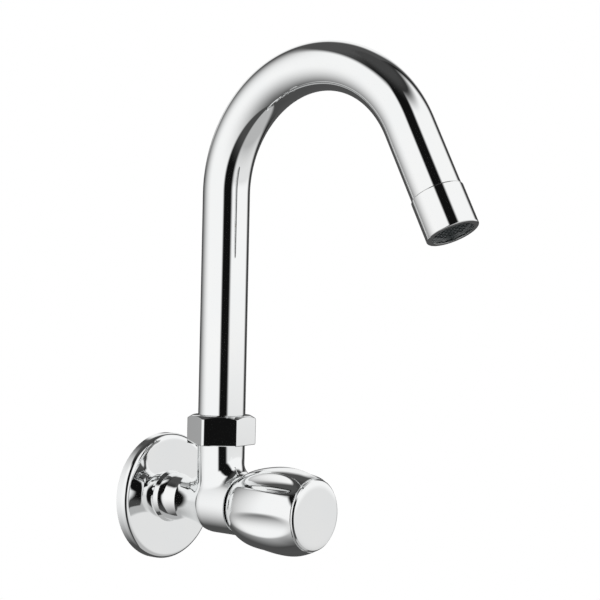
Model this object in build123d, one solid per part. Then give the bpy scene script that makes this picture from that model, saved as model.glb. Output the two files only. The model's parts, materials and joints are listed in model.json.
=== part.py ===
from build123d import *
import math
import os

# Inlet shank: half-inch pipe thread, crest diameter
thread_diameter = 20.955
thread_length = 15.0
thread_lead_in = 1.0
shank_relief_depth = 1.18
inlet_bore = 12.0

# Wall flange
flange_diameter = 60.0
flange_depth = 6.0
flange_wall = 1.0
flange_edge_radius = 2.6
flange_hole_clearance = 0.3
flange_hub_height = 2.2
flange_hub_wall = 0.6
flange_hub_taper = 0.8

# Tapered collar and waist
collar_shoulder = 0.72
collar_land = 2.8
collar_taper_length = 6.2
waist_diameter = 18.4
waist_blend_radius = 47.0

# Barrel and neck
spout_offset = 38.0
body_lead = 0.2
body_diameter = 27.6
body_wall = 3.6
seat_wall = 1.4
barrel_length = 14.3
neck_diameter = 22.1
neck_height = 26.8
neck_fillet_radius = 8.5
outlet_bore = 13.0
tail_socket_floor = 17.0

# Coupling nut and its thread on the neck
nut_flats = 28.0
nut_height = 13.5
nut_gap = 0.5
nut_turn = -20.5
nut_face_inset = 0.5
nut_chamfer_angle = 30.0
nut_edge_radius = 0.7
nut_lip = 2.5
nut_thread_diameter = 20.955
thread_clearance = 0.05

# Spout tube
tube_diameter = 22.0
tube_wall = 1.0
arch_height = 143.8
bend_radius = 54.7
bend_angle = 153.4
spout_leg = 32.4
solder_clearance = 0.02
swivel_gap = 0.3

# Swivel joint inside the neck
tail_diameter = 15.9
tail_bore = 10.0
tail_floor_gap = 0.5
running_clearance = 0.05
face_clearance = 0.05
swivel_neck_diameter = 17.8
swivel_play = 0.2
ferrule_spigot_length = 13.0
slip_washer_thickness = 1.0
snap_ring_thickness = 1.5
snap_ring_slit = 2.5
snap_ring_groove = 1.05
snap_ring_clearance = 0.35
spout_seal_section = 1.4
spout_seal_low = 5.0
spout_seal_pitch = 5.5
seal_groove_extra = 0.5
seal_squeeze_clearance = 0.02

# Outlet and aerator
aerator_step = 0.5
aerator_length = 18.6
aerator_seam = 0.2
aerator_edge_radius = 0.6
aerator_seam_chamfer = 0.3
aerator_lip = 1.6
aerator_lip_width = 1.2
outlet_thread_step = 0.3
outlet_thread_length = 6.5
outlet_insert_wall = 1.6
outlet_spigot_length = 10.0
aerator_washer_thickness = 1.5
core_clearance = 0.1
core_flange_thickness = 1.2
core_wall = 1.1
screen_thickness = 0.5
screen_rim = 1.6
screen_hole = 1.1
screen_pitch = 1.75
grille_thickness = 1.8
grille_rim = 0.3
grille_hole = 1.9
grille_pitch = 2.35

# Quarter-turn headwork
headwork_thread = 18.0
headwork_thread_length = 9.5
headwork_flats = 19.0
headwork_head = 4.0
headwork_seat_width = 1.2
headwork_seat_thickness = 1.2
gasket_thickness = 0.8
gasket_clearance = 0.1
guide_diameter = 13.6
guide_length = 7.0
sleeve_diameter = 16.6
sleeve_wall = 1.25
sleeve_setback = 2.0
chamber_clearance = 0.6
chamber_flare = 3.0
window_width = 8.0
window_length = 4.0
window_setback = 1.0
seat_seal_wall = 2.2
seat_seal_height = 3.0
disc_thickness = 3.0
disc_gap = 0.02
disc_port_inner = 1.5
disc_port_rim = 1.8
disc_port_angle = 76.0
disc_lug_width = 3.0
disc_lug_clearance = 0.1
driver_thickness = 3.0
driver_width = 6.4
driver_key_width = 3.0
driver_key_height = 1.2
thrust_washer_thickness = 0.6
stem_diameter = 9.9
stem_seal_section = 1.2
stem_seal_setback = 4.0
stem_seal_pitch = 3.6
circlip_thickness = 1.0
circlip_groove = 0.8
circlip_width = 1.6
circlip_slit = 2.0
spline_diameter = 8.0
spline_teeth = 20
spline_depth = 0.4
spline_length = 13.0
spline_clearance = 0.03
screw_hole_depth = 9.0
screw_tip_gap = 1.0

# Knob
knob_gap = 0.6
knob_diameter = 39.6
knob_length = 40.9
knob_crown = 25.5
knob_back_lean = 58.0
knob_back_ease = 5.7
knob_rise_ease = 8.5
knob_fall_ease = 5.5
knob_front_ease = 5.5
knob_front_lean = 28.0
knob_front_lip = 0.25
knob_hollow_clearance = 0.4
knob_rim_wall = 1.1
knob_web_gap = 1.7
bush_setback = 0.5
bush_diameter = 13.0
bush_end_wall = 1.2
scoop_count = 6
scoop_turn = 42.5
scoop_floor_diameter = 35.4
scoop_round = 9.5
scoop_run_radius = 150.0
scoop_centre = 21.5
cap_diameter = 32.0
cap_thickness = 4.4
cap_seat_depth = 2.4
cap_edge_radius = 1.9
cap_clearance = 0.05
cap_skirt_setback = 3.0
cap_skirt_depth = 5.0
cap_skirt_wall = 1.4
screw_diameter = 4.0
screw_head_diameter = 7.4
screw_head_height = 2.6
screw_slot_width = 1.0
screw_slot_depth = 1.2


def turned(points):
    """Solid turned about the valve axis from corners (radius, distance in front of the wall)."""
    corners = [(r, -f) for r, f in points]
    return revolve(make_face(Polyline(*corners, close=True)), Axis.Y)


def upright(points):
    """Solid turned about the swivel axis from corners (radius, height)."""
    outline = Plane.XZ * Polyline(*points, close=True)
    return Pos(0, -spout_offset, 0) * revolve(make_face(outline), Axis.Z)


def outlet(points):
    """Solid turned about the outlet leg from corners (radius, distance past the bend)."""
    outline = Plane.XZ * Polyline(*points, close=True)
    return leg_plane * revolve(make_face(outline), Axis.Z)


def ring(inner, outer, start, end):
    """Corners of a plain ring, for any of the three turning functions."""
    return [(inner, start), (outer, start), (outer, end), (inner, end)]


def hexagon(flats, start, end, edge_radius, facing):
    """Hexagon bar along the given plane's normal, measured across its flats, with eased corners."""
    shape = RegularPolygon(flats / 2, 6, major_radius=False, rotation=30)
    if edge_radius > 0:
        shape = fillet(shape.vertices(), edge_radius)
    return facing * (Pos(0, 0, start) * extrude(shape, end - start))


def star(diameter, teeth, depth):
    """Splined outline with the given number of straight-sided teeth."""
    corners = []
    for i in range(2 * teeth):
        r = diameter / 2 - (depth if i % 2 else 0)
        a = math.pi * i / teeth
        corners.append((r * math.cos(a), r * math.sin(a)))
    return make_face(Polyline(*corners, close=True))


def hole_field(radius, pitch, hole):
    """Centres of a triangular field of holes that stays inside the given radius."""
    count = int(radius / pitch) + 2
    centres = []
    for i in range(-2 * count, 2 * count + 1):
        for j in range(-count, count + 1):
            x = pitch * (i + j / 2)
            y = pitch * j * math.sqrt(3) / 2
            if math.hypot(x, y) + hole / 2 < radius:
                centres.append((x, y))
    return centres


def perforated(radius, thickness, pitch, hole, rim):
    """Round plate pierced by a triangular field of holes."""
    plate = Circle(radius)
    holes = [Pos(x, y) * Circle(hole / 2) for x, y in hole_field(radius - rim, pitch, hole)]
    return extrude(plate - holes, thickness)


def seal_ring(outer, section):
    """O-ring about the Z axis from its outer radius and section diameter."""
    return Torus(outer - section / 2, section / 2)


# Stations along the valve axis, as distances in front of the wall
thread_radius = thread_diameter / 2
collar_radius = thread_radius + collar_shoulder
collar_start = flange_depth + flange_hub_height
taper_start = collar_start + collar_land
collar_front = taper_start + collar_taper_length
body_centre = spout_offset + body_lead
body_front = body_centre + barrel_length
body_radius = body_diameter / 2
sleeve_radius = sleeve_diameter / 2
seat_corner = sleeve_radius + chamber_clearance
seat_face = body_centre - math.sqrt(body_radius ** 2 - (seat_corner + seat_wall) ** 2)
valve_plane = Plane(origin=(0, 0, 0), x_dir=(1, 0, 0), z_dir=(0, -1, 0))
nut_plane = Plane(origin=(0, -spout_offset, 0)) * Rot(0, 0, nut_turn)

# Stations along the swivel axis
nut_bottom = neck_height + nut_gap
nut_top = nut_bottom + nut_height
nut_roof = nut_top - nut_lip
snap_top = nut_roof - face_clearance
snap_bottom = snap_top - snap_ring_thickness
washer_top = snap_bottom - swivel_play
spigot_top = washer_top - slip_washer_thickness
tube_start = nut_top + swivel_gap
tail_radius = tail_diameter / 2
socket_radius = tail_radius + running_clearance
tube_radius = tube_diameter / 2
tube_inner = tube_radius - tube_wall

# Outlet leg
bend_turn = math.radians(bend_angle)
leg_start = (0,
             -spout_offset - bend_radius * (1 - math.cos(bend_turn)),
             arch_height + bend_radius * math.sin(bend_turn))
leg_direction = (0, -math.sin(bend_turn), math.cos(bend_turn))
leg_plane = Plane(origin=leg_start, x_dir=(1, 0, 0), z_dir=leg_direction)
leg_axis = Axis(leg_start, leg_direction)

# Valve body: round barrel with a drawn-in waist, blended into the upright neck
waist_radius = waist_diameter / 2
blend_radius = waist_radius + waist_blend_radius
blend_reach = body_radius + waist_blend_radius
waist_station = body_centre - math.sqrt(blend_reach ** 2 - blend_radius ** 2)
touch_radius = body_radius * blend_radius / blend_reach
touch_station = body_centre - body_radius * (body_centre - waist_station) / blend_reach
root_run = collar_front - waist_station
root_radius = blend_radius - math.sqrt(waist_blend_radius ** 2 - root_run ** 2)
root_turn = math.asin(root_run / waist_blend_radius)
touch_turn = math.atan2(body_centre - waist_station, blend_radius)
blend_mid = (root_turn + touch_turn) / 2
blend_point = (blend_radius - waist_blend_radius * math.cos(blend_mid),
               -waist_station - waist_blend_radius * math.sin(blend_mid))
sphere_mid = math.atan2(body_centre - touch_station, touch_radius) / 2
sphere_point = (body_radius * math.cos(sphere_mid), -body_centre + body_radius * math.sin(sphere_mid))
overrun = 2 * neck_fillet_radius
barrel_outline = [
    Line((0, -collar_front), (root_radius, -collar_front)),
    ThreePointArc((root_radius, -collar_front), blend_point, (touch_radius, -touch_station)),
    ThreePointArc((touch_radius, -touch_station), sphere_point, (body_radius, -body_centre)),
    Line((body_radius, -body_centre), (body_radius, -body_front - overrun)),
    Line((body_radius, -body_front - overrun), (0, -body_front - overrun)),
    Line((0, -body_front - overrun), (0, -collar_front)),
]
barrel = revolve(make_face(barrel_outline), Axis.Y)
neck_base = Align.CENTER, Align.CENTER, Align.MIN
neck = Pos(0, -spout_offset, 0) * Cylinder(neck_diameter / 2, neck_height, align=neck_base)
casting = barrel + neck
foot = casting.edges().filter_by(
    lambda e: e.geom_type not in (GeomType.LINE, GeomType.CIRCLE) and e.center().Z > 2)
casting = fillet(foot, neck_fillet_radius)
trim = Pos(0, -body_front - overrun, 0) * Box(4 * body_radius, 2 * overrun, 4 * body_radius)
casting = casting - trim
collar = turned([
    (0, collar_start),
    (collar_radius, collar_start),
    (collar_radius, taper_start),
    (root_radius, collar_front),
    (0, collar_front)])
relief_radius = thread_radius - shank_relief_depth
shank = turned([
    (0, -thread_length),
    (thread_radius - thread_lead_in, -thread_length),
    (thread_radius, -thread_length + thread_lead_in),
    (thread_radius, 0),
    (relief_radius, 0),
    (relief_radius, collar_start + 1),
    (0, collar_start + 1)])
neck_spigot = upright(ring(0, nut_thread_diameter / 2, neck_height - 1, spigot_top))
chamber_radius = body_radius - body_wall
headwork_socket = headwork_thread / 2 + thread_clearance
chamber_end = body_front - headwork_thread_length - gasket_thickness
waterway = turned([
    (0, -thread_length - 1),
    (inlet_bore / 2, -thread_length - 1),
    (inlet_bore / 2, seat_face),
    (seat_corner, seat_face),
    (chamber_radius, seat_face + chamber_flare),
    (chamber_radius, chamber_end),
    (headwork_socket, chamber_end),
    (headwork_socket, body_front + 1),
    (0, body_front + 1)])
riser = upright([
    (0, 0),
    (outlet_bore / 2, 0),
    (outlet_bore / 2, tail_socket_floor),
    (socket_radius, tail_socket_floor),
    (socket_radius, spigot_top + 1),
    (0, spigot_top + 1)])
valve_body = casting + collar + shank + neck_spigot - waterway - riser

# Wall flange: shallow cup with a rounded front edge and a tapered hub round its hole
flange_radius = flange_diameter / 2
flange_hole = thread_radius + flange_hole_clearance
flange_cup = turned(ring(0, flange_radius, 0, flange_depth))
front_edge = flange_cup.edges().filter_by(lambda e: abs(e.center().Y + flange_depth) < 0.01)
flange_cup = fillet(front_edge, flange_edge_radius)
flange_floor = flange_depth - flange_wall
flange_hollow = turned(ring(0, flange_radius - flange_wall, -1, flange_floor))
hollow_edge = flange_hollow.edges().filter_by(lambda e: abs(e.center().Y + flange_floor) < 0.01)
flange_hollow = fillet(hollow_edge, max(flange_edge_radius - flange_wall, 0.2))
hub_front = flange_hole + flange_hub_wall
hub_base = hub_front + flange_hub_taper
flange_hub = turned([
    (0, flange_floor),
    (hub_base, flange_floor),
    (hub_base, flange_depth),
    (hub_front, collar_start),
    (0, collar_start)])
wall_flange = flange_cup - flange_hollow + flange_hub - turned(ring(0, flange_hole, 0, collar_start + 1))

# Headwork stations
head_start = body_front + gasket_thickness
guide_start = head_start + headwork_head
guide_end = guide_start + guide_length
sleeve_end = seat_face + sleeve_setback
seal_top = seat_face + seat_seal_height
turning_start = seal_top + disc_thickness + disc_gap
driver_start = turning_start + disc_thickness
driver_end = driver_start + driver_thickness
washer_end = driver_end + thrust_washer_thickness
inner_shoulder = washer_end + face_clearance
sleeve_bore = sleeve_radius - sleeve_wall
stem_radius = stem_diameter / 2
stem_bore = stem_radius + running_clearance
disc_radius = sleeve_bore - running_clearance

# Housing: sleeve with two windows, thread, seat ring, hexagon and stem guide
seat_ring_radius = headwork_flats / 2 + headwork_seat_width
housing = turned([
    (stem_bore, inner_shoulder),
    (sleeve_bore, inner_shoulder),
    (sleeve_bore, sleeve_end),
    (sleeve_radius, sleeve_end),
    (sleeve_radius, chamber_end + gasket_thickness),
    (headwork_thread / 2, chamber_end + gasket_thickness),
    (headwork_thread / 2, head_start),
    (seat_ring_radius, head_start),
    (seat_ring_radius, head_start + headwork_seat_thickness),
    (guide_diameter / 2, head_start + headwork_seat_thickness),
    (guide_diameter / 2, guide_end),
    (stem_bore, guide_end)])
head = hexagon(headwork_flats, head_start, guide_start, 0, valve_plane)
head = head - turned(ring(0, stem_bore, head_start - 1, guide_start + 1))
window_centre = turning_start + window_setback + window_length / 2
window = Pos(0, -window_centre, 0) * Box(window_width, window_length, 4 * sleeve_radius)
window = window & turned(ring(0, sleeve_radius + chamber_clearance, seat_face, body_front))
slot_width = disc_lug_width + 2 * disc_lug_clearance
lug_slot = Pos(0, -(sleeve_end + turning_start) / 2, 0) * Box(
    4 * sleeve_radius, turning_start - sleeve_end, slot_width)
headwork_housing = housing + head - window - lug_slot
gasket_inner = headwork_thread / 2 + gasket_clearance
headwork_gasket = turned(ring(gasket_inner, seat_ring_radius, body_front, head_start))
seat_seal = turned(ring(disc_radius - seat_seal_wall, disc_radius, seat_face, seal_top))


def ceramic_disc(start, turn):
    """Ceramic disc with two opposite ports, its ports turned about the valve axis."""
    half = math.radians(disc_port_angle / 2)
    inner = disc_port_inner
    outer = disc_radius - disc_port_rim
    low = math.cos(half), -math.sin(half)
    high = math.cos(half), math.sin(half)
    port = make_face([
        Line((inner * low[0], inner * low[1]), (outer * low[0], outer * low[1])),
        ThreePointArc((outer * low[0], outer * low[1]), (outer, 0), (outer * high[0], outer * high[1])),
        Line((outer * high[0], outer * high[1]), (inner * high[0], inner * high[1])),
        ThreePointArc((inner * high[0], inner * high[1]), (inner, 0), (inner * low[0], inner * low[1])),
    ])
    disc = Circle(disc_radius) - [Rot(0, 0, turn + side) * port for side in (0, 180)]
    return valve_plane * (Pos(0, 0, start) * extrude(disc, disc_thickness))


lug_reach = 2 * (sleeve_radius - disc_lug_clearance)
lug = Pos(0, -seal_top - disc_thickness / 2, 0) * Box(lug_reach, disc_thickness, disc_lug_width)
lug = lug - turned(ring(0, disc_radius - 0.5 * disc_port_rim, seal_top - 1, driver_start))
fixed_disc = ceramic_disc(seal_top, 0) + lug
key_station = -driver_start + driver_key_height / 2
key_slot = Pos(0, key_station, 0) * Box(4 * disc_radius, driver_key_height, driver_key_width)
turning_disc = ceramic_disc(turning_start, 90) - key_slot

# Spindle with its driver, seals, thrust washer and circlip
clip_start = guide_end + face_clearance
clip_end = clip_start + circlip_thickness
spline_start = clip_end + face_clearance
spindle_end = spline_start + spline_length
driver_bar = Box(4 * disc_radius, driver_thickness, driver_width)
driver_bar = Pos(0, -(driver_start + driver_end) / 2, 0) * driver_bar
driver = turned(ring(0, disc_radius, driver_start, driver_end)) & driver_bar
stem = turned(ring(0, stem_radius, driver_start, spline_start))
key = Pos(0, key_station, 0) * Box(
    2 * disc_radius, driver_key_height, driver_key_width - 2 * running_clearance)
key = key & turned(ring(0, disc_radius, driver_start - 2 * driver_key_height, driver_start))
spline = extrude(star(spline_diameter, spline_teeth, spline_depth), spline_length)
spindle = stem + driver + key + valve_plane * (Pos(0, 0, spline_start) * spline)
groove_radius = stem_radius - stem_seal_section + seal_squeeze_clearance
seal_stations = [inner_shoulder + stem_seal_setback + i * stem_seal_pitch for i in range(2)]
groove_half = (stem_seal_section + seal_groove_extra) / 2
for station in seal_stations:
    low = station - groove_half
    spindle = spindle - turned(ring(groove_radius, stem_radius + 1, low, low + 2 * groove_half))
clip_radius = stem_radius - circlip_groove
spindle = spindle - turned(ring(clip_radius, stem_radius + 1, clip_start, clip_end))
screw_floor = spindle_end - screw_hole_depth
spindle = spindle - turned(ring(0, screw_diameter / 2, screw_floor, spindle_end + 1))
thrust_washer = turned(ring(stem_radius, disc_radius, driver_end, washer_end))
stem_seal = Rot(90, 0, 0) * seal_ring(stem_bore - seal_squeeze_clearance, stem_seal_section)
spindle_seals = [Pos(0, -station, 0) * stem_seal for station in seal_stations]
circlip = turned(ring(clip_radius, clip_radius + circlip_width, clip_start, clip_end))
clip_gap = Box(circlip_slit, 4 * circlip_thickness, 2 * stem_radius)
circlip = circlip - Pos(0, -clip_start, -stem_radius) * clip_gap

# Knob: turned bell with finger scoops cut by a wide ring, hollow behind, with a seat for the end cap
knob_back = body_front + knob_gap
knob_front = knob_back + knob_length
knob_radius = knob_diameter / 2
hollow_radius = headwork_flats / math.sqrt(3) + knob_hollow_clearance
back_radius = hollow_radius + knob_rim_wall
seat_radius = cap_diameter / 2 + cap_clearance
lip_radius = seat_radius + knob_front_lip
crown_station = knob_back + knob_crown
back_lean = math.radians(knob_back_lean)
front_lean = math.radians(knob_front_lean)
back_handle = knob_back_ease * math.sin(back_lean), knob_back_ease * math.cos(back_lean)
front_handle = knob_front_ease * math.sin(front_lean), knob_front_ease * math.cos(front_lean)
rise_curve = Bezier(
    (back_radius, -knob_back),
    (back_radius + back_handle[0], -knob_back - back_handle[1]),
    (knob_radius, -crown_station + knob_rise_ease),
    (knob_radius, -crown_station))
fall_curve = Bezier(
    (knob_radius, -crown_station),
    (knob_radius, -crown_station - knob_fall_ease),
    (lip_radius + front_handle[0], -knob_front + front_handle[1]),
    (lip_radius, -knob_front))
bell = revolve(make_face([
    rise_curve,
    fall_curve,
    Line((lip_radius, -knob_front), (0, -knob_front)),
    Line((0, -knob_front), (0, -knob_back)),
    Line((0, -knob_back), (back_radius, -knob_back)),
]), Axis.Y)
scoop_hub = scoop_floor_diameter / 2 - scoop_run_radius
scoop_ring = Rot(0, 90, 0) * Torus(scoop_run_radius + scoop_round, scoop_round)
scoop = Pos(0, -knob_back - scoop_centre, scoop_hub) * scoop_ring
for i in range(scoop_count):
    bell = bell - Rot(0, -scoop_turn - 360 * i / scoop_count, 0) * scoop
web_start = spline_start + knob_web_gap
web_end = spindle_end + bush_end_wall
skirt_radius = seat_radius - cap_skirt_setback
bush_radius = bush_diameter / 2
seat_start = knob_front - cap_seat_depth
knob_body = bell - turned([
    (0, knob_back - 1),
    (hollow_radius, knob_back - 1),
    (hollow_radius, web_start),
    (bush_radius, web_start),
    (bush_radius, web_end),
    (skirt_radius, web_end),
    (skirt_radius, seat_start),
    (seat_radius, seat_start),
    (seat_radius, knob_front + 1),
    (0, knob_front + 1)])
bush_start = web_start + bush_setback
bush = turned(ring(screw_diameter / 2, bush_radius, bush_start, web_end))
bush_star = star(spline_diameter + 2 * spline_clearance, spline_teeth, spline_depth)
bush_bore = extrude(bush_star, spindle_end - bush_start + 1)
knob_bush = bush - valve_plane * (Pos(0, 0, bush_start - 1) * bush_bore)
head_radius = screw_head_diameter / 2
screw_top = web_end + screw_head_height
knob_screw = turned([
    (0, screw_floor + screw_tip_gap),
    (screw_diameter / 2, screw_floor + screw_tip_gap),
    (screw_diameter / 2, web_end),
    (head_radius, web_end),
    (head_radius, web_end + 0.6 * screw_head_height),
    (0.7 * head_radius, screw_top),
    (0, screw_top)])
slot_place = Pos(0, -screw_top + screw_slot_depth / 2, 0)
slot = Box(1.3 * head_radius, screw_slot_depth, screw_slot_width)
for turn in (0, 90):
    knob_screw = knob_screw - slot_place * Rot(0, turn, 0) * slot
cap_radius = cap_diameter / 2
cap_face = seat_start + cap_thickness
cap = turned(ring(0, cap_radius, seat_start, cap_face))
cap_edge = cap.edges().filter_by(lambda e: abs(e.center().Y + cap_face) < 0.01)
cap = fillet(cap_edge, cap_edge_radius)
skirt_start = seat_start - cap_skirt_depth
cap_skirt = turned(ring(skirt_radius - cap_skirt_wall, skirt_radius, skirt_start, seat_start + 0.5))
knob_end_cap = cap + cap_skirt

# Coupling nut over the neck thread, its points taken off at the top end only
nut_thread_radius = nut_thread_diameter / 2 + thread_clearance
swivel_neck_radius = swivel_neck_diameter / 2
swivel_hole = swivel_neck_radius + running_clearance
nut = hexagon(nut_flats, nut_bottom, nut_top, nut_edge_radius, nut_plane)
nut_corner = nut_flats / math.sqrt(3)
nut_face = nut_flats / 2 - nut_face_inset
nut_chamfer_height = (nut_corner - nut_face) * math.tan(math.radians(nut_chamfer_angle))
nut = nut & upright([
    (0, nut_bottom),
    (nut_corner, nut_bottom),
    (nut_corner, nut_top - nut_chamfer_height),
    (nut_face, nut_top),
    (0, nut_top)])
coupling_nut = nut - upright([
    (0, nut_bottom - 1),
    (nut_thread_radius, nut_bottom - 1),
    (nut_thread_radius, nut_roof),
    (swivel_hole, nut_roof),
    (swivel_hole, nut_top + 1),
    (0, nut_top + 1)])

# Swivel ferrule, slip washer, snap ring and seals
snap_inner = tail_radius - snap_ring_groove
snap_outer = nut_thread_radius - snap_ring_clearance
slip_washer = upright(ring(socket_radius, snap_outer, spigot_top, washer_top))
ferrule_floor = tail_socket_floor + tail_floor_gap
spigot_radius = tube_inner - solder_clearance
ferrule = upright([
    (tail_bore / 2, ferrule_floor),
    (tail_radius, ferrule_floor),
    (tail_radius, snap_top),
    (swivel_neck_radius, snap_top),
    (swivel_neck_radius, tube_start),
    (spigot_radius, tube_start),
    (spigot_radius, tube_start + ferrule_spigot_length),
    (tail_bore / 2, tube_start + ferrule_spigot_length)])
ferrule = ferrule - upright(ring(snap_inner, tail_radius + 1, snap_bottom, snap_top))
spout_seal_stations = [ferrule_floor + spout_seal_low + i * spout_seal_pitch for i in range(2)]
spout_groove = tail_radius - spout_seal_section + seal_squeeze_clearance
spout_groove_half = (spout_seal_section + seal_groove_extra) / 2
for station in spout_seal_stations:
    low = station - spout_groove_half
    ferrule = ferrule - upright(ring(spout_groove, tail_radius + 1, low, low + 2 * spout_groove_half))
snap_slit = Pos(0, -spout_offset - snap_outer, snap_bottom) * Box(
    snap_ring_slit, 2 * snap_outer, 4 * snap_ring_thickness)
snap_ring = upright(ring(snap_inner, snap_outer, snap_bottom, snap_top)) - snap_slit
spout_seal = seal_ring(socket_radius - seal_squeeze_clearance, spout_seal_section)
spout_seals = [Pos(0, -spout_offset, station) * spout_seal for station in spout_seal_stations]

# Spout tube: upright run, bend and outlet leg
leg_end = tuple(leg_start[i] + spout_leg * leg_direction[i] for i in range(3))
arch_crown = (0,
              -spout_offset - bend_radius * (1 - math.cos(bend_turn / 2)),
              arch_height + bend_radius * math.sin(bend_turn / 2))
spout_path = Wire([
    Line((0, -spout_offset, tube_start), (0, -spout_offset, arch_height)),
    ThreePointArc((0, -spout_offset, arch_height), arch_crown, leg_start),
    Line(leg_start, leg_end)])
tube_section = Plane(origin=(0, -spout_offset, tube_start)) * (Circle(tube_radius) - Circle(tube_inner))
spout_tube = sweep(tube_section, path=spout_path)

# Outlet insert and aerator
outlet_radius = tube_inner + outlet_thread_step
insert_bore = spigot_radius - outlet_insert_wall
insert_start = spout_leg - outlet_spigot_length
thread_end = spout_leg + outlet_thread_length
outlet_insert = outlet([
    (insert_bore, insert_start),
    (spigot_radius, insert_start),
    (spigot_radius, spout_leg),
    (outlet_radius, spout_leg),
    (outlet_radius, thread_end),
    (insert_bore, thread_end)])
aerator_radius = tube_radius + aerator_step
shell_start = spout_leg + aerator_seam
shell_end = spout_leg + aerator_length
shell_inner = outlet_radius + thread_clearance
mouth_radius = shell_inner - aerator_lip_width
lip_start = shell_end - aerator_lip
shell = outlet(ring(0, aerator_radius, shell_start, shell_end))
shell_rims = shell.edges().filter_by(GeomType.CIRCLE).sort_by(leg_axis)
shell = fillet(shell_rims[-1:], aerator_edge_radius)
shell_rims = shell.edges().filter_by(GeomType.CIRCLE).sort_by(leg_axis)
shell = chamfer(shell_rims[:1], aerator_seam_chamfer)
aerator_shell = shell - outlet([
    (0, shell_start - 1),
    (shell_inner, shell_start - 1),
    (shell_inner, lip_start),
    (mouth_radius, lip_start),
    (mouth_radius, shell_end + 1),
    (0, shell_end + 1)])
core_radius = shell_inner - core_clearance
core_outer = core_radius - core_wall
core_bore = core_outer - core_wall
core_start = thread_end + aerator_washer_thickness
screen_end = core_start + screen_thickness
grille_start = lip_start - grille_thickness
aerator_washer = outlet(ring(insert_bore, core_radius, thread_end, core_start))
aerator_core = outlet([
    (core_bore, screen_end),
    (core_outer, screen_end),
    (core_outer, core_start),
    (core_radius, core_start),
    (core_radius, core_start + core_flange_thickness),
    (core_outer, core_start + core_flange_thickness),
    (core_outer, grille_start),
    (core_bore, grille_start)])
screen = perforated(core_outer - core_clearance, screen_thickness, screen_pitch, screen_hole, screen_rim)
aerator_screen = leg_plane * (Pos(0, 0, core_start) * screen)
grille_border = core_radius - mouth_radius + grille_rim
grille = perforated(core_radius, grille_thickness, grille_pitch, grille_hole, grille_border)
aerator_grille = leg_plane * (Pos(0, 0, grille_start) * grille)

nodes = {
    "valve_body": valve_body,
    "wall_flange": wall_flange,
    "headwork_housing": headwork_housing,
    "headwork_gasket": headwork_gasket,
    "seat_seal": seat_seal,
    "fixed_ceramic_disc": fixed_disc,
    "turning_ceramic_disc": turning_disc,
    "spindle": spindle,
    "spindle_thrust_washer": thrust_washer,
    "spindle_o_rings": Compound(children=spindle_seals),
    "spindle_circlip": circlip,
    "knob_body": knob_body,
    "knob_bush": knob_bush,
    "knob_screw": knob_screw,
    "knob_end_cap": knob_end_cap,
    "coupling_nut": coupling_nut,
    "slip_washer": slip_washer,
    "spout_ferrule": ferrule,
    "spout_snap_ring": snap_ring,
    "spout_o_rings": Compound(children=spout_seals),
    "spout_tube": spout_tube,
    "spout_end_insert": outlet_insert,
    "aerator_shell": aerator_shell,
    "aerator_washer": aerator_washer,
    "aerator_core": aerator_core,
    "aerator_inlet_screen": aerator_screen,
    "aerator_outlet_grille": aerator_grille,
}
os.makedirs("parts", exist_ok=True)
for name, shape in nodes.items():
    export_step(shape, f"parts/{name}.step")
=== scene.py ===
import json
import math
import bmesh
import bpy
import numpy as np
from mathutils import Matrix, Vector


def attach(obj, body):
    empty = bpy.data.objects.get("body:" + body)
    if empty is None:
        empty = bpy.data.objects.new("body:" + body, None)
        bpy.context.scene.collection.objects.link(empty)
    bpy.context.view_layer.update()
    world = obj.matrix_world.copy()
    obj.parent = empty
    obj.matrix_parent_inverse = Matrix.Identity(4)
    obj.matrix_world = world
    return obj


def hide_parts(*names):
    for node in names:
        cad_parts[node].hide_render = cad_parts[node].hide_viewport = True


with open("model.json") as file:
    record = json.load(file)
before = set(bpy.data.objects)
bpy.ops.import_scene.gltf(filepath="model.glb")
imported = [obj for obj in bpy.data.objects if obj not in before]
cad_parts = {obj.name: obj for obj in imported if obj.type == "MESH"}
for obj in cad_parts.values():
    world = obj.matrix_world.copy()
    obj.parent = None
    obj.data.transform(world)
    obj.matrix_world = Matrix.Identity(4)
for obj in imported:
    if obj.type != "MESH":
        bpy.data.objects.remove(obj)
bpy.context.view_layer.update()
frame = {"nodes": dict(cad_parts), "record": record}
nodes = frame["nodes"]

# Lengths below are millimetres, in the tap's frame: the valve axis runs along Y through the origin, the wall
# is the plane Y = 0 with the tap on its -Y side, and Z is up. Meshes are scaled to metres when they are made.
MM = 0.001
# Radii of edges: as left by the tool, and broken by hand
SHARP = 0.1
BROKEN = 0.2

INLET = dict(crest=10.4775, depth=1.162, pitch=1.814, length=15.0, lead_in=1.0, relief=9.2975, run_out=1.2,
             core=8.9, bore=6.1)
FLANGE = dict(radius=30.0, depth=6.0, wall=1.0, edge=2.6, hole=10.7775, hub=8.2, hub_front=11.3775,
              hub_base=12.1775, hub_edge=0.15)
# The nut's corners and the cap's edge are shaped as buffing leaves them, within 0.2 mm of the CAD
NUT = dict(apothem=14.0, bottom=27.3, top=40.8, roof=38.3, inset=0.5, corner=1.4, chamfer=math.radians(30),
           chamfer_ease=0.25, bevel=0.3, bore_edge=0.3, thread=10.5275, hole=8.95, turn=math.radians(-20.5))
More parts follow.
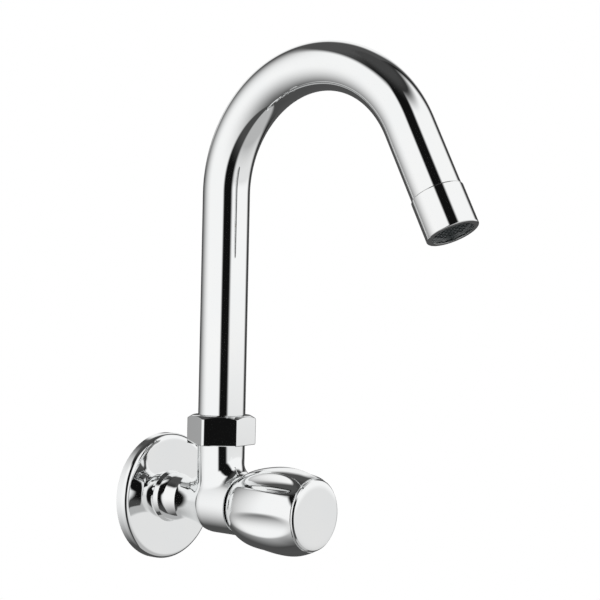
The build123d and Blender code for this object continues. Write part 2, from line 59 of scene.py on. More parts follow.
# The tube's foot reaches into the running gap over the nut, so that no brass shows there
SPOUT = dict(offset=38.0, start=40.9, rise=143.8, bend=54.7, sweep=math.radians(153.4), leg=32.4,
             radius=11.0, inner=10.0, end_edge=0.25)
AERATOR = dict(radius=11.5, start=32.6, end=51.0, edge=0.6, chamfer=0.3, bore=10.35, lip=1.6, mouth=9.15)
KNOB = dict(back=53.1, length=40.9, back_radius=12.4697, crown_radius=19.8, crown=25.5, lip=16.3, seat=16.05,
            seat_depth=2.4, seat_edge=0.08, hollow=11.3697, back_edge=0.3, web=67.1, web_end=79.6, bush=6.5,
            skirt=13.05)
BELL = dict(back=5.7, back_lean=math.radians(58.0), rise=8.5, fall=5.5,
            front=5.5, front_lean=math.radians(28.0))
SCOOP = dict(count=6, turn=math.radians(42.5), floor=17.7, round=9.5, run=150.0, centre=21.5, rim_ease=0.8)
CAP = dict(radius=16.0, back=91.6, face=96.0, bevel=0.7, bevel_edge=0.3, fall=0.45, skirt=13.05,
           skirt_wall=1.4, skirt_depth=5.0)

FORWARD = np.array([0.0, -1.0, 0.0])
UP = np.array([0.0, 0.0, 1.0])
ORIGIN = np.zeros(3)
SWIVEL = np.array([0.0, -SPOUT["offset"], 0.0])
LEG_START = np.array([0.0,
                      -SPOUT["offset"] - SPOUT["bend"] * (1 - math.cos(SPOUT["sweep"])),
                      SPOUT["rise"] + SPOUT["bend"] * math.sin(SPOUT["sweep"])])
LEG = np.array([0.0, -math.sin(SPOUT["sweep"]), math.cos(SPOUT["sweep"])])


def linear(colour):
    """Linear RGBA from an sRGB hex colour, by the sRGB curve."""
    value = np.array([int(colour[i:i + 2], 16) for i in (1, 3, 5)]) / 255
    value = np.where(value <= 0.04045, value / 12.92, ((value + 0.055) / 1.055) ** 2.4)
    return (*value, 1.0)


def add(tree, kind, inputs=(), **settings):
    """Adds a node with its settings; each input is a name or number with a value or another node's output."""
    node = tree.nodes.new(kind)
    for name, value in settings.items():
        setattr(node, name, value)
    for name, value in dict(inputs).items():
        if isinstance(value, bpy.types.NodeSocket):
            tree.links.new(value, node.inputs[name])
        else:
            node.inputs[name].default_value = value
    return node


def finish_tree(name):
    """A new material with an empty node tree."""
    material = bpy.data.materials.new(name)
    material.use_nodes = True
    material.node_tree.nodes.clear()
    return material, material.node_tree


# Shapes

def rounded(corners, radii, closed=True, steps=7):
    """Outline with arcs for corners: each arc touches both sides at its radius over the tangent of half the
    corner's angle, and turns evenly from one side's normal to the other's. One point on each side holds the
    flat next to the arc. On an open outline the two ends stay as they are."""
    corner = np.asarray(corners, float)
    radius = np.asarray(radii, float)[:, None]
    before = np.roll(corner, 1, 0) - corner
    after = np.roll(corner, -1, 0) - corner
    before /= np.linalg.norm(before, axis=1)[:, None]
    after /= np.linalg.norm(after, axis=1)[:, None]
    half = np.arccos(np.clip((before * after).sum(1), -1, 1))[:, None] / 2
    reach = radius / np.tan(half)
    middle = before + after
    middle = corner + middle / np.linalg.norm(middle, axis=1)[:, None] * radius / np.sin(half)
    first = corner + before * reach - middle
    last = corner + after * reach - middle
    turn = np.pi - 2 * half
    share = np.linspace(0, 1, steps)[None, :, None]
    turn = turn[:, :, None]
    arc = (np.sin((1 - share) * turn) * first[:, None] + np.sin(share * turn) * last[:, None]) / np.sin(turn)
    hold = 0.3 * radius
    points = np.concatenate([(middle + first + before * hold)[:, None], middle[:, None] + arc,
                             (middle + last + after * hold)[:, None]], 1)
    if not closed:
        points = points[1:-1]
        return np.concatenate([corner[:1], points.reshape(-1, 2), corner[-1:]])
    return points.reshape(-1, 2)


def spread(outline, step):
    """The outline with its long sides cut into equal parts no longer than the step."""
    outline = np.asarray(outline, float)
    side = np.roll(outline, -1, 0) - outline
    parts = np.maximum(np.ceil(np.linalg.norm(side, axis=1) / step).astype(int), 1)
    start = np.repeat(np.arange(len(outline)), parts)
    share = (np.arange(parts.sum()) - np.repeat(np.cumsum(parts) - parts, parts)) / np.repeat(parts, parts)
    return outline[start] + side[start] * share[:, None]


def circle(count, along):
    """Unit circle of evenly spaced points square to an axis, turning right-handed about it."""
    side = np.array([1.0, 0.0, 0.0])
    third = np.cross(along, side)
    angle = np.linspace(0, 2 * np.pi, count, endpoint=False)[:, None]
    return angle[:, 0], np.cos(angle) * side + np.sin(angle) * third


def turned(outline, centre, along, count=128):
    """Surface of revolution: every outline point (radius, distance) goes round the axis on a circle."""
    angle, ring = circle(count, along)
    return centre + outline[:, 1, None, None] * along + outline[:, 0, None, None] * ring


def lower_of(first, second, ease):
    """The lower of two heights, with the crossing eased by a parabola over the given width."""
    share = np.clip(0.5 + 0.5 * (second - first) / ease, 0, 1)
    return second * (1 - share) + first * share - ease * share * (1 - share)


def spout_line(station):
    """The spout's centre line by distance along it: straight up, round the bend, then straight down the leg.
    The turn so far is the distance past the rise over the bend's radius, held between none and the full
    sweep."""
    rise = SPOUT["rise"] - SPOUT["start"]
    turn = np.clip((station - rise) / SPOUT["bend"], 0, SPOUT["sweep"])
    past = np.maximum(station - rise - SPOUT["bend"] * SPOUT["sweep"], 0)
    y = -SPOUT["offset"] - SPOUT["bend"] * (1 - np.cos(turn)) - past * math.sin(SPOUT["sweep"])
    z = SPOUT["start"] + np.minimum(station, rise) + SPOUT["bend"] * np.sin(turn)
    z = z + past * math.cos(SPOUT["sweep"])
    zero = np.zeros_like(station)
    return np.stack([zero, y, z], -1), np.stack([zero, np.cos(turn), np.sin(turn)], -1)


def spout_tube_surface():
    """Round tube carried along the spout's line: a closed outline (radius, distance along), its rings square
    to the line."""
    length = SPOUT["rise"] - SPOUT["start"] + SPOUT["bend"] * SPOUT["sweep"] + SPOUT["leg"]
    outline = rounded([(SPOUT["radius"], 0), (SPOUT["radius"], length), (SPOUT["inner"], length),
                       (SPOUT["inner"], 0)], [SPOUT["end_edge"], SPOUT["end_edge"], SHARP, SHARP])
    outline = spread(outline, 1.2)
    centre, outward = spout_line(outline[:, 1])
    angle = np.linspace(0, 2 * np.pi, 128, endpoint=False)
    side = np.array([1.0, 0.0, 0.0])
    around = np.cos(angle)[None, :, None] * side + np.sin(angle)[None, :, None] * outward[:, None]
    return centre[:, None] + outline[:, 0, None, None] * around


def hexagon_radius(angle, apothem, corner):
    """Distance from the axis to a hexagon's side: apothem over the cosine of the angle from the side's
    middle, and near each corner the far side of the circle that rounds it."""
    off = np.abs((angle + np.pi / 6) % (np.pi / 3) - np.pi / 6)
    hub = (apothem - corner) / math.cos(math.pi / 6)
    aside = np.pi / 6 - off
    arc = hub * np.cos(aside) + np.sqrt(np.maximum(corner ** 2 - (hub * np.sin(aside)) ** 2, 0))
    on_flat = np.tan(off) * apothem < (apothem - corner) * math.tan(math.pi / 6)
    return np.where(on_flat, apothem / np.cos(off), arc)


def coupling_nut_surface():
    """Hexagon nut: the distance to the flats, cut back at the top by a cone and by a small bevel at the
    bottom, over a grid of angle and height, then in through the bored hole and the wider threaded bore."""
    count = 360
    bottom, top, roof = NUT["bottom"], NUT["top"], NUT["roof"]
    hole, thread = NUT["hole"], NUT["thread"]
    angle, ring = circle(count, UP)
    # Rows lie close together at the bevel and over the chamfer
    height = np.concatenate([bottom + np.array([0, 0.1, 0.2, 0.3, 0.5]),
                             np.linspace(bottom + 1, top - 2.4, 12), np.linspace(top - 2.3, top, 36)])
    flats = hexagon_radius(angle - NUT["turn"], NUT["apothem"], NUT["corner"])
    face = NUT["apothem"] - NUT["inset"]
    cone = face + (top - height) / math.tan(NUT["chamfer"])
    outer = lower_of(np.broadcast_to(flats, (len(height), count)), cone[:, None], NUT["chamfer_ease"])
    outer = outer - np.maximum(bottom + NUT["bevel"] - height, 0)[:, None]
    inner = rounded([(face, top - 0.01), (hole, top), (hole, roof), (thread, roof), (thread, bottom),
                     (face, bottom + 0.01)],
                    [SHARP, NUT["bore_edge"], SHARP, SHARP, NUT["bore_edge"], SHARP], closed=False)[1:-1]
    radius = np.concatenate([outer, np.broadcast_to(inner[:, :1], (len(inner), count))])
    height = np.concatenate([height, inner[:, 1]])
    return SWIVEL + height[:, None, None] * UP + radius[:, :, None] * ring


def knob_bell(station):
    """Radius of the knob's bell by distance from its back: one cubic Bezier curve rises from the back rim to
    the crown, another falls from the crown to the front lip, and both lie along the axis at the crown."""
    crown = (KNOB["crown_radius"], KNOB["crown"])
    rise = np.array([
        (KNOB["back_radius"], 0),
        (KNOB["back_radius"] + BELL["back"] * math.sin(BELL["back_lean"]),
         BELL["back"] * math.cos(BELL["back_lean"])),
        (KNOB["crown_radius"], KNOB["crown"] - BELL["rise"]),
        crown])
    fall = np.array([
        crown,
        (KNOB["crown_radius"], KNOB["crown"] + BELL["fall"]),
        (KNOB["lip"] + BELL["front"] * math.sin(BELL["front_lean"]),
         KNOB["length"] - BELL["front"] * math.cos(BELL["front_lean"])),
        (KNOB["lip"], KNOB["length"])])
    t = np.linspace(0, 1, 400)[:, None]
    weights = np.concatenate([(1 - t) ** 3, 3 * t * (1 - t) ** 2, 3 * t ** 2 * (1 - t), t ** 3], 1)
    curve = np.concatenate([weights @ rise, (weights @ fall)[1:]])
    return np.interp(station, curve[:, 1], curve[:, 0])


def scoop_depth(station, angle):
    """Radius at which a ray square to the knob's axis meets the nearest scoop. A scoop is cut by the inner
    side of a wide ring of round section that stands along the knob. The ray's radius comes from a few rounds
    of substitution: its distance aside gives the ring's inner radius there, and that gives the height."""
    step = 2 * np.pi / SCOOP["count"]
    off = (angle - SCOOP["turn"] + step / 2) % step - step / 2
    along = station[:, None] - SCOOP["centre"]
    radius = SCOOP["floor"]
    for rounds in range(10):
        aside = radius * np.sin(off)
        inner = SCOOP["run"] + SCOOP["round"] - np.sqrt(np.maximum(SCOOP["round"] ** 2 - aside ** 2, 0))
        radius = (SCOOP["floor"] - SCOOP["run"] + np.sqrt(inner ** 2 - along ** 2)) / np.cos(off)
    clear_of_knob = 5 * KNOB["crown_radius"]
    return np.where(np.abs(aside) < SCOOP["round"], radius, clear_of_knob)


def knob_body_surface():
    """Knob: the lower of the bell and its scoops over a grid of angle and distance, then the lip, the cap's
    seat, the cavity, the bush's hole and the hollow back."""
    count = 320
    front = KNOB["back"] + KNOB["length"]
    floor = front - KNOB["seat_depth"]
    angle, ring = circle(count, FORWARD)
    # The angle of a scoop is counted from straight up towards -X
    about = np.arctan2(-ring[:, 0], ring[:, 2])
    # Rows lie closer together at the back rim and the front lip
    station = np.concatenate([np.linspace(0, 3, 16)[:-1], np.linspace(3, 37, 150)[:-1],
                              np.linspace(37, KNOB["length"], 24)])
    bell = np.broadcast_to(knob_bell(station)[:, None], (len(station), count))
    outer = lower_of(bell, scoop_depth(station, about), SCOOP["rim_ease"])
    inner = rounded([(KNOB["lip"], front - 0.01), (KNOB["seat"], front), (KNOB["seat"], floor),
                     (KNOB["skirt"], floor), (KNOB["skirt"], KNOB["web_end"]),
                     (KNOB["bush"], KNOB["web_end"]), (KNOB["bush"], KNOB["web"]),
                     (KNOB["hollow"], KNOB["web"]), (KNOB["hollow"], KNOB["back"]),
                     (KNOB["back_radius"], KNOB["back"] + 0.01)],
                    [SHARP, KNOB["seat_edge"], SHARP, SHARP, BROKEN, BROKEN, BROKEN, BROKEN,
                     KNOB["back_edge"], SHARP], closed=False, steps=4)[1:-1]
    radius = np.concatenate([outer, np.broadcast_to(inner[:, :1], (len(inner), count))])
    distance = np.concatenate([KNOB["back"] + station, inner[:, 1]])
    return distance[:, None, None] * FORWARD + radius[:, :, None] * ring


def knob_cap_surface():
    """End cap: a face that falls towards its edge by the tenth power of the radius, as a buffed face does,
    then the bevel, the rim, the back and the hollow skirt, all turned about the valve axis."""
    share = np.linspace(0, 0.97, 40)
    edge = CAP["radius"] - CAP["bevel"]
    face = np.stack([edge * share, CAP["face"] - CAP["fall"] * share ** 10], 1)
    bevel = CAP["face"] - CAP["fall"]
    inside = CAP["skirt"] - CAP["skirt_wall"]
    foot = CAP["back"] - CAP["skirt_depth"]
    rim = rounded([face[-1], (edge, bevel), (CAP["radius"], bevel - CAP["bevel"]),
                   (CAP["radius"], CAP["back"]), (CAP["skirt"], CAP["back"]), (CAP["skirt"], foot),
                   (inside, foot), (inside, CAP["back"]), (0, CAP["back"])],
                  [1, CAP["bevel_edge"], CAP["bevel_edge"], BROKEN, SHARP, BROKEN, BROKEN, SHARP, 1],
                  closed=False, steps=8)
    return turned(np.concatenate([face, rim[1:]]), ORIGIN, FORWARD, 160)


def inlet_thread_surface():
    """Pipe thread: the crest radius less a rounded groove, a cosine of distance over pitch less the angle's
    share of a turn, run out by cones at both ends, on a sleeve that closes on the shank's core."""
    count = 128
    angle, ring = circle(count, -FORWARD)
    distance = np.linspace(0, INLET["length"], 190)
    phase = 2 * np.pi * distance[:, None] / INLET["pitch"] - angle
    crest = INLET["crest"] - INLET["depth"] * (0.5 - 0.5 * np.cos(phase))
    tip = INLET["crest"] + INLET["length"] - INLET["lead_in"] - distance
    outer = lower_of(crest, np.minimum(tip, INLET["relief"] + INLET["run_out"] * distance)[:, None], SHARP)
    radius = np.concatenate([outer, np.full((2, count), INLET["core"])])
    distance = np.concatenate([distance, distance[[-1, 0]]])
    return -distance[:, None, None] * FORWARD + radius[:, :, None] * ring


# Pieces

def piece(name, grid, closed, material, body, slot, *replaced):
    """Mesh of quads between neighbouring rows of a grid whose columns always close round; the rows close too,
    or end in poles."""
    rows, columns = grid.shape[:2]
    index = np.arange(rows * columns).reshape(rows, columns)
    if closed:
        index = np.concatenate([index, index[:1]])
    low, high = index[:-1], index[1:]
    quads = np.stack([low, np.roll(low, -1, 1), np.roll(high, -1, 1), high], -1).reshape(-1, 4)
    mesh = bpy.data.meshes.new(name)
    mesh.vertices.add(rows * columns)
    mesh.vertices.foreach_set("co", (grid * MM).astype(np.float32).ravel())
    mesh.loops.add(quads.size)
    mesh.loops.foreach_set("vertex_index", quads.astype(np.int32).ravel())
    mesh.polygons.add(len(quads))
    mesh.polygons.foreach_set("loop_start", np.arange(0, quads.size, 4, dtype=np.int32))
    mesh.update(calc_edges=True)
    return place(name, mesh, material, body, slot, *replaced)


def place(name, mesh, material, body, slot, *replaced):
    """Puts a mesh on its body in place of the CAD nodes it stands for. First doubles are merged and faces
    turned outwards, and only edges past 40 degrees stay sharp."""
    merge = 1e-7
    if mesh.has_custom_normals:
        mesh.attributes.remove(mesh.attributes["custom_normal"])
    work = bmesh.new()
    work.from_mesh(mesh)
    bmesh.ops.remove_doubles(work, verts=work.verts, dist=merge)
    bmesh.ops.dissolve_degenerate(work, edges=work.edges, dist=merge)
    bmesh.ops.recalc_face_normals(work, faces=work.faces)
    work.to_mesh(mesh)
    work.free()
    mesh.shade_smooth()
    mesh.set_sharp_from_angle(angle=math.radians(40))
    mesh.materials.clear()
    mesh.materials.append(material)
    obj = bpy.data.objects.new(name, mesh)
    bpy.context.scene.collection.objects.link(obj)
    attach(obj, body)
    if replaced:
        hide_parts(*replaced)
    return obj


# Finishes

def chrome_plate(name, ripple):
    """Chrome over polished brass: a mirror, dulled a little by polishing in clouds 18 mm across, over a skin
    that still holds some of the casting's or the tube's waviness, about 12 mm from crest to crest."""
    material, tree = finish_tree(name)
    place_on = add(tree, "ShaderNodeTexCoord").outputs["Object"]
    haze = add(tree, "ShaderNodeTexNoise", {"Vector": place_on, "Scale": 1 / (18 * MM), "Detail": 3.0})
    gloss = add(tree, "ShaderNodeMapRange", {
        "Value": haze.outputs["Fac"], "From Min": 0.3, "From Max": 0.7, "To Min": 0.02, "To Max": 0.05})
    tint = add(tree, "ShaderNodeMix", {
        "Factor": haze.outputs["Fac"], "A": linear("#f1f3f4"), "B": linear("#f6f6f5")}, data_type="RGBA")
    wave = add(tree, "ShaderNodeTexNoise", {"Vector": place_on, "Scale": 1 / (12 * MM), "Detail": 1.0})
    skin = add(tree, "ShaderNodeBump", {"Height": wave.outputs["Fac"], "Strength": 1.0, "Distance": ripple})
    shader = add(tree, "ShaderNodeBsdfPrincipled", {
        "Base Color": tint.outputs["Result"], "Metallic": 1.0, "Roughness": gloss.outputs["Result"],
        "Normal": skin.outputs["Normal"]})
    add(tree, "ShaderNodeOutputMaterial", {"Surface": shader.outputs["BSDF"]})
    return material


def turned_brass():
    """Free-cutting brass straight off the lathe: warm yellow, with fine turning rings and darker handling
    marks about 6 mm across."""
    material, tree = finish_tree("turned_brass")
    place_on = add(tree, "ShaderNodeTexCoord").outputs["Object"]
    # Turning feed of 0.2 mm
    rings = add(tree, "ShaderNodeTexWave", {
        "Vector": place_on, "Scale": 1 / (0.2 * MM) / (2 * math.pi), "Distortion": 0.4},
        bands_direction="DIAGONAL")
    stain = add(tree, "ShaderNodeTexNoise", {"Vector": place_on, "Scale": 1 / (6 * MM), "Detail": 4.0})
    tint = add(tree, "ShaderNodeMix", {
        "Factor": stain.outputs["Fac"], "A": linear("#c49a55"), "B": linear("#a67c3c")}, data_type="RGBA")
    gloss = add(tree, "ShaderNodeMapRange", {"Value": stain.outputs["Fac"], "To Min": 0.22, "To Max": 0.38})
    skin = add(tree, "ShaderNodeBump", {
        "Height": rings.outputs["Fac"], "Strength": 0.3, "Distance": 0.01 * MM})
    shader = add(tree, "ShaderNodeBsdfPrincipled", {
        "Base Color": tint.outputs["Result"], "Metallic": 1.0, "Roughness": gloss.outputs["Result"],
        "Normal": skin.outputs["Normal"]})
    add(tree, "ShaderNodeOutputMaterial", {"Surface": shader.outputs["BSDF"]})
    return material


def moulded(name, pale, dark, roughness, grain, depth):
    """Moulded or fired material: two close tones in soft clouds 5 mm across, with a fine grain on the
    surface."""
    material, tree = finish_tree(name)
    place_on = add(tree, "ShaderNodeTexCoord").outputs["Object"]
    cloud = add(tree, "ShaderNodeTexNoise", {"Vector": place_on, "Scale": 1 / (5 * MM), "Detail": 4.0})
    tint = add(tree, "ShaderNodeMix", {
        "Factor": cloud.outputs["Fac"], "A": linear(pale), "B": linear(dark)}, data_type="RGBA")
    speck = add(tree, "ShaderNodeTexNoise", {"Vector": place_on, "Scale": 1 / grain, "Detail": 2.0})
    gloss = add(tree, "ShaderNodeMapRange", {
        "Value": speck.outputs["Fac"], "To Min": roughness - 0.08, "To Max": roughness + 0.08})
    skin = add(tree, "ShaderNodeBump", {"Height": speck.outputs["Fac"], "Strength": 0.5, "Distance": depth})
    shader = add(tree, "ShaderNodeBsdfPrincipled", {
        "Base Color": tint.outputs["Result"], "Roughness": gloss.outputs["Result"],
        "Normal": skin.outputs["Normal"]})
    add(tree, "ShaderNodeOutputMaterial", {"Surface": shader.outputs["BSDF"]})
    return material


def stainless_steel():
    """Stamped stainless steel: grey metal with a soft sheen and rolling lines, 2 mm long and an eighth of
    that wide."""
    material, tree = finish_tree("rolled_stainless_steel")
    place_on = add(tree, "ShaderNodeTexCoord").outputs["Object"]
    stretch = add(tree, "ShaderNodeMapping", {"Vector": place_on, "Scale": (8.0, 1.0, 8.0)})
    lines = add(tree, "ShaderNodeTexNoise", {
        "Vector": stretch.outputs["Vector"], "Scale": 1 / (2 * MM), "Detail": 3.0})
    tint = add(tree, "ShaderNodeMix", {
        "Factor": lines.outputs["Fac"], "A": linear("#b9babb"), "B": linear("#9b9c9e")}, data_type="RGBA")
    gloss = add(tree, "ShaderNodeMapRange", {"Value": lines.outputs["Fac"], "To Min": 0.25, "To Max": 0.42})
    shader = add(tree, "ShaderNodeBsdfPrincipled", {
        "Base Color": tint.outputs["Result"], "Metallic": 1.0, "Roughness": gloss.outputs["Result"]})
    add(tree, "ShaderNodeOutputMaterial", {"Surface": shader.outputs["BSDF"]})
    return material


chrome_tube = chrome_plate("chrome_plate_on_tube", 0.002 * MM)
chrome_cast = chrome_plate("chrome_plate_on_casting", 0.012 * MM)
brass = turned_brass()
steel = stainless_steel()
alumina = moulded("lapped_alumina_ceramic", "#f1efe9", "#e4e1da", 0.3, 0.3 * MM, 0.004 * MM)
rubber = moulded("moulded_black_rubber", "#2b2b2c", "#1d1d1e", 0.62, 0.4 * MM, 0.01 * MM)
nylon = moulded("moulded_white_nylon", "#eeece4", "#e2dfd6", 0.45, 0.5 * MM, 0.008 * MM)
acetal = moulded("moulded_dark_acetal", "#3f4445", "#2e3334", 0.5, 0.5 * MM, 0.008 * MM)

finish_of = {
    "chrome_plate": chrome_tube,
    "bare_brass": brass,
    "alumina_ceramic": alumina,
    "black_rubber": rubber,
    "white_nylon": nylon,
    "stainless_steel": steel,
    "grey_plastic": acetal,
}
for part in frame["record"]["subparts"]:
    mesh = nodes[part["node"]].data
    mesh.materials.clear()
    mesh.materials.append(finish_of[part["material_slot"]])

# Chrome pieces that show

flange_inside = FLANGE["radius"] - FLANGE["wall"]
flange_back = FLANGE["depth"] - FLANGE["wall"]
flange_outline = rounded(
    [(FLANGE["hole"], FLANGE["hub"]), (FLANGE["hub_front"], FLANGE["hub"]),
     (FLANGE["hub_base"], FLANGE["depth"]), (FLANGE["radius"], FLANGE["depth"]), (FLANGE["radius"], 0),
     (flange_inside, 0), (flange_inside, flange_back), (FLANGE["hole"], flange_back)],
    [FLANGE["hub_edge"], FLANGE["hub_edge"], FLANGE["hub_edge"], FLANGE["edge"], BROKEN, SHARP,
     FLANGE["edge"] - FLANGE["wall"], FLANGE["hub_edge"]], steps=16)
piece("wall_flange_cup", turned(spread(flange_outline, 2.0), ORIGIN, FORWARD, 192), True, chrome_tube, "tap",
      "chrome_plate", "wall_flange")

piece("spout_bent_tube", spout_tube_surface(), True, chrome_tube, "spout", "chrome_plate", "spout_tube")

lip_start = AERATOR["end"] - AERATOR["lip"]
aerator_outline = rounded(
    [(AERATOR["radius"], AERATOR["start"]), (AERATOR["radius"], AERATOR["end"]),
     (AERATOR["mouth"], AERATOR["end"]), (AERATOR["mouth"], lip_start), (AERATOR["bore"], lip_start),
     (AERATOR["bore"], AERATOR["start"])],
    [AERATOR["chamfer"], AERATOR["edge"], SHARP, SHARP, SHARP, SHARP], steps=10)
piece("aerator_shell_sleeve", turned(spread(aerator_outline, 1.5), LEG_START, LEG), True, chrome_tube,
      "spout", "chrome_plate", "aerator_shell")

piece("coupling_nut_hexagon", coupling_nut_surface(), True, chrome_tube, "tap", "chrome_plate",
      "coupling_nut")
piece("knob_scooped_bell", knob_body_surface(), True, chrome_cast, "knob", "chrome_plate", "knob_body")

piece("knob_cap_disc", knob_cap_surface(), False, chrome_cast, "knob", "chrome_plate", "knob_end_cap")

# The casting keeps its CAD surface; its shank is drawn in to a core that carries the pipe thread
casting = nodes["valve_body"].data.copy()
points = np.empty(len(casting.vertices) * 3, np.float32)
casting.vertices.foreach_get("co", points)
points = points.reshape(-1, 3)
radius = np.hypot(points[:, 0], points[:, 2])
shank = (points[:, 1] > -1e-6) & (radius > INLET["bore"] * MM)
points[shank, 0] *= INLET["core"] * MM / radius[shank]
points[shank, 2] *= INLET["core"] * MM / radius[shank]
casting.vertices.foreach_set("co", points.ravel())
place("valve_casting", casting, chrome_cast, "tap", "chrome_plate", "valve_body")
piece("inlet_pipe_thread", inlet_thread_surface(), True, chrome_cast, "tap", "chrome_plate")

# Studio: soft panels left and right of the camera with a black gap between them, a wall behind that is dark
# at eye level and lit higher up, a dark ceiling, and a floor that greys towards the viewer. Only reflections
# show it; the picture's background is plain white.

world = bpy.data.worlds.new("studio")
bpy.context.scene.world = world
world.use_nodes = True
tree = world.node_tree
tree.nodes.clear()
ray = add(tree, "ShaderNodeSeparateXYZ", {"Vector": add(tree, "ShaderNodeTexCoord").outputs["Generated"]})
outwards = add(tree, "ShaderNodeMath", {0: ray.outputs["Y"], 1: -1.0}, operation="MULTIPLY")
bearing = add(tree, "ShaderNodeMath", {0: ray.outputs["X"], 1: outwards.outputs[0]}, operation="ARCTAN2")
bearing = add(tree, "ShaderNodeMath", {0: bearing.outputs[0]}, operation="DEGREES")
# Bearings run from 92 to 452 degrees, so that the seam lies in the dark between two panels
bearing = add(tree, "ShaderNodeMath", {0: bearing.outputs[0], 1: 452.0, 2: 92.0}, operation="WRAP").outputs[0]
height = add(tree, "ShaderNodeMath", {0: ray.outputs["Z"]}, operation="ARCSINE")
height = add(tree, "ShaderNodeMath", {0: height.outputs[0]}, operation="DEGREES").outputs[0]
# The panels' sides lean between these heights
lift = add(tree, "ShaderNodeMapRange", {
    "Value": height, "From Min": 6.0, "From Max": 46.0, "To Max": 40.0}).outputs[0]

# Each panel, in degrees: bearings over which it starts and ends, how far each of those leans back per degree
# of height, heights over which its top fades, heights over which the floor below it dims, that floor's level
# and the panel's own
panels = [
    ((150, 235), (294, 304), (0.0, 0.55), (42, 55), (-94, 0), 0.08, 1.0),
    ((333, 347), (430, 451), (0.25, 0.0), (48, 67), (-16, 2), 0.50, 1.0),
    ((333, 347), (430, 451), (0.25, 0.0), (0, 10), (-75, -10), 0.10, 0.82),
    ((100, 118), (165, 190), (0.0, 1.0), (40, 58), (6, 20), 0.08, 0.95),
    ((92, 100), (215, 280), (0.0, 0.0), (70, 90), (-90, -20), 0.80, 0.08),
]
# The unlit rest is almost black at eye level, with a dark grey floor and a dark ceiling: heights, then levels
glow = 0.0
for low, high, at_low, at_high in ((-46, -12, 0.07, 0.0), (50, 78, 0.006, 0.06)):
    rest = add(tree, "ShaderNodeMapRange", {
        "Value": height, "From Min": low, "From Max": high, "To Min": at_low, "To Max": at_high},
        interpolation_type="SMOOTHSTEP")
    glow = add(tree, "ShaderNodeMath", {0: glow, 1: rest.outputs[0]}, operation="MAXIMUM").outputs[0]
for start, end, lean, top, floor, foot, strength in panels:
    starts, ends = (
        add(tree, "ShaderNodeMath", {0: lift, 1: each, 2: bearing}, operation="MULTIPLY_ADD").outputs[0]
        for each in lean)
    panel = strength
    fades = ((starts, start, 0.0, 1.0), (ends, end, 1.0, 0.0),
             (height, top, 1.0, 0.0), (height, floor, foot, 1.0))
    for value, (low, high), at_low, at_high in fades:
        share = add(tree, "ShaderNodeMapRange", {
            "Value": value, "From Min": low, "From Max": high, "To Min": at_low, "To Max": at_high},
            interpolation_type="SMOOTHSTEP")
        panel = add(tree, "ShaderNodeMath", {0: panel, 1: share.outputs[0]}, operation="MULTIPLY").outputs[0]
    glow = add(tree, "ShaderNodeMath", {0: glow, 1: panel}, operation="MAXIMUM").outputs[0]
# Mirrored rays see the panels, the camera sees white, and the rest is plain soft light
path = add(tree, "ShaderNodeLightPath")
mirrored = add(tree, "ShaderNodeMath", {
    0: path.outputs["Is Glossy Ray"], 1: path.outputs["Is Transmission Ray"]}, operation="MAXIMUM").outputs[0]
plain = add(tree, "ShaderNodeMix", {
    "Factor": path.outputs["Is Camera Ray"], "A": 0.85, "B": 1.0}).outputs["Result"]
level = add(tree, "ShaderNodeMix", {"Factor": mirrored, "A": plain, "B": glow}).outputs["Result"]
sky = add(tree, "ShaderNodeBackground", {"Color": (1.0, 1.0, 1.0, 1.0), "Strength": level})
add(tree, "ShaderNodeOutputWorld", {"Surface": sky.outputs["Background"]})

# Pale floor, well below the tap: matt white paper that runs out into the white background with distance.
# Lengths of the floor are metres.
FLOOR = dict(level=-0.25, half=2.0, runs_out=0.45, gone=0.9, fibre=0.025)
material, tree = finish_tree("white_floor_paper")
place_on = add(tree, "ShaderNodeTexCoord").outputs["Object"]
fibre = add(tree, "ShaderNodeTexNoise", {"Vector": place_on, "Scale": 1 / FLOOR["fibre"]})
tone = add(tree, "ShaderNodeMix", {
    "Factor": fibre.outputs["Fac"], "A": linear("#f7f7f7"), "B": linear("#f5f5f5")}, data_type="RGBA")
paper = add(tree, "ShaderNodeBsdfDiffuse", {"Color": tone.outputs["Result"]})
away = add(tree, "ShaderNodeVectorMath", {0: place_on}, operation="LENGTH")
runs_out = add(tree, "ShaderNodeMapRange", {
    "Value": away.outputs["Value"], "From Min": FLOOR["runs_out"], "From Max": FLOOR["gone"]},
    interpolation_type="SMOOTHSTEP")
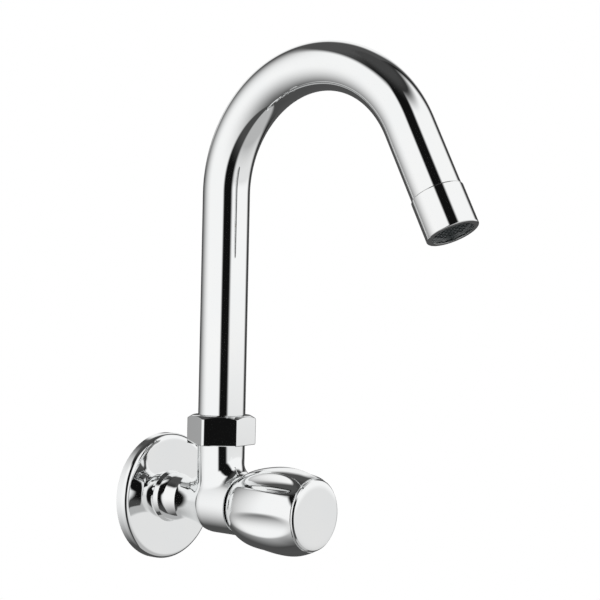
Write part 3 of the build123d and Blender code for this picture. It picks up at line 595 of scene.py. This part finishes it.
# From below the sheet is clear
below = add(tree, "ShaderNodeNewGeometry").outputs["Backfacing"]
unseen = add(tree, "ShaderNodeMath", {0: runs_out.outputs[0], 1: below}, operation="MAXIMUM")
clear = add(tree, "ShaderNodeBsdfTransparent")
sheet = add(tree, "ShaderNodeMixShader", {0: unseen.outputs[0], 1: paper.outputs[0], 2: clear.outputs[0]})
add(tree, "ShaderNodeOutputMaterial", {"Surface": sheet.outputs[0]})
half, low = FLOOR["half"], FLOOR["level"]
mesh = bpy.data.meshes.new("studio_floor")
mesh.from_pydata([(-half, -half, low), (half, -half, low), (half, half, low), (-half, half, low)], [],
                 [(0, 1, 2, 3)])
mesh.materials.append(material)
studio_floor = bpy.data.objects.new("studio_floor", mesh)
bpy.context.scene.collection.objects.link(studio_floor)
studio_floor.visible_glossy = False

# Soft light from above on the camera's side, which the chrome doesn't mirror
lamp = bpy.data.lights.new("soft_overhead", "SUN")
lamp.energy = 0.7
lamp.angle = math.radians(40)
overhead = bpy.data.objects.new("soft_overhead", lamp)
overhead.rotation_euler = (math.radians(25), math.radians(-20), 0)
overhead.visible_glossy = False
bpy.context.scene.collection.objects.link(overhead)

# Camera at the photo's angle: its place is metres, its lens and sensor are millimetres
CAMERA = dict(place=(-0.48021, -0.48016, 0.08827), lens=83.76, sensor=36.0)
azimuth, elevation, roll = math.radians(-50.47), math.radians(-0.60), math.radians(1.18)
flat = math.cos(elevation)
back = Vector((math.sin(azimuth) * flat, -math.cos(azimuth) * flat, math.sin(elevation)))
right = Vector((math.cos(azimuth), math.sin(azimuth), 0))
up = back.cross(right)
right, up = right * math.cos(roll) + up * math.sin(roll), up * math.cos(roll) - right * math.sin(roll)
lens = bpy.data.cameras.new("photo_camera")
lens.lens = CAMERA["lens"]
lens.sensor_width = CAMERA["sensor"]
lens.clip_start = 0.01
camera = bpy.data.objects.new("photo_camera", lens)
turn = Matrix((right, up, back)).transposed().to_4x4()
camera.matrix_world = Matrix.Translation(CAMERA["place"]) @ turn
bpy.context.scene.collection.objects.link(camera)
bpy.context.scene.camera = camera

bpy.context.scene.view_settings.view_transform = "Standard"
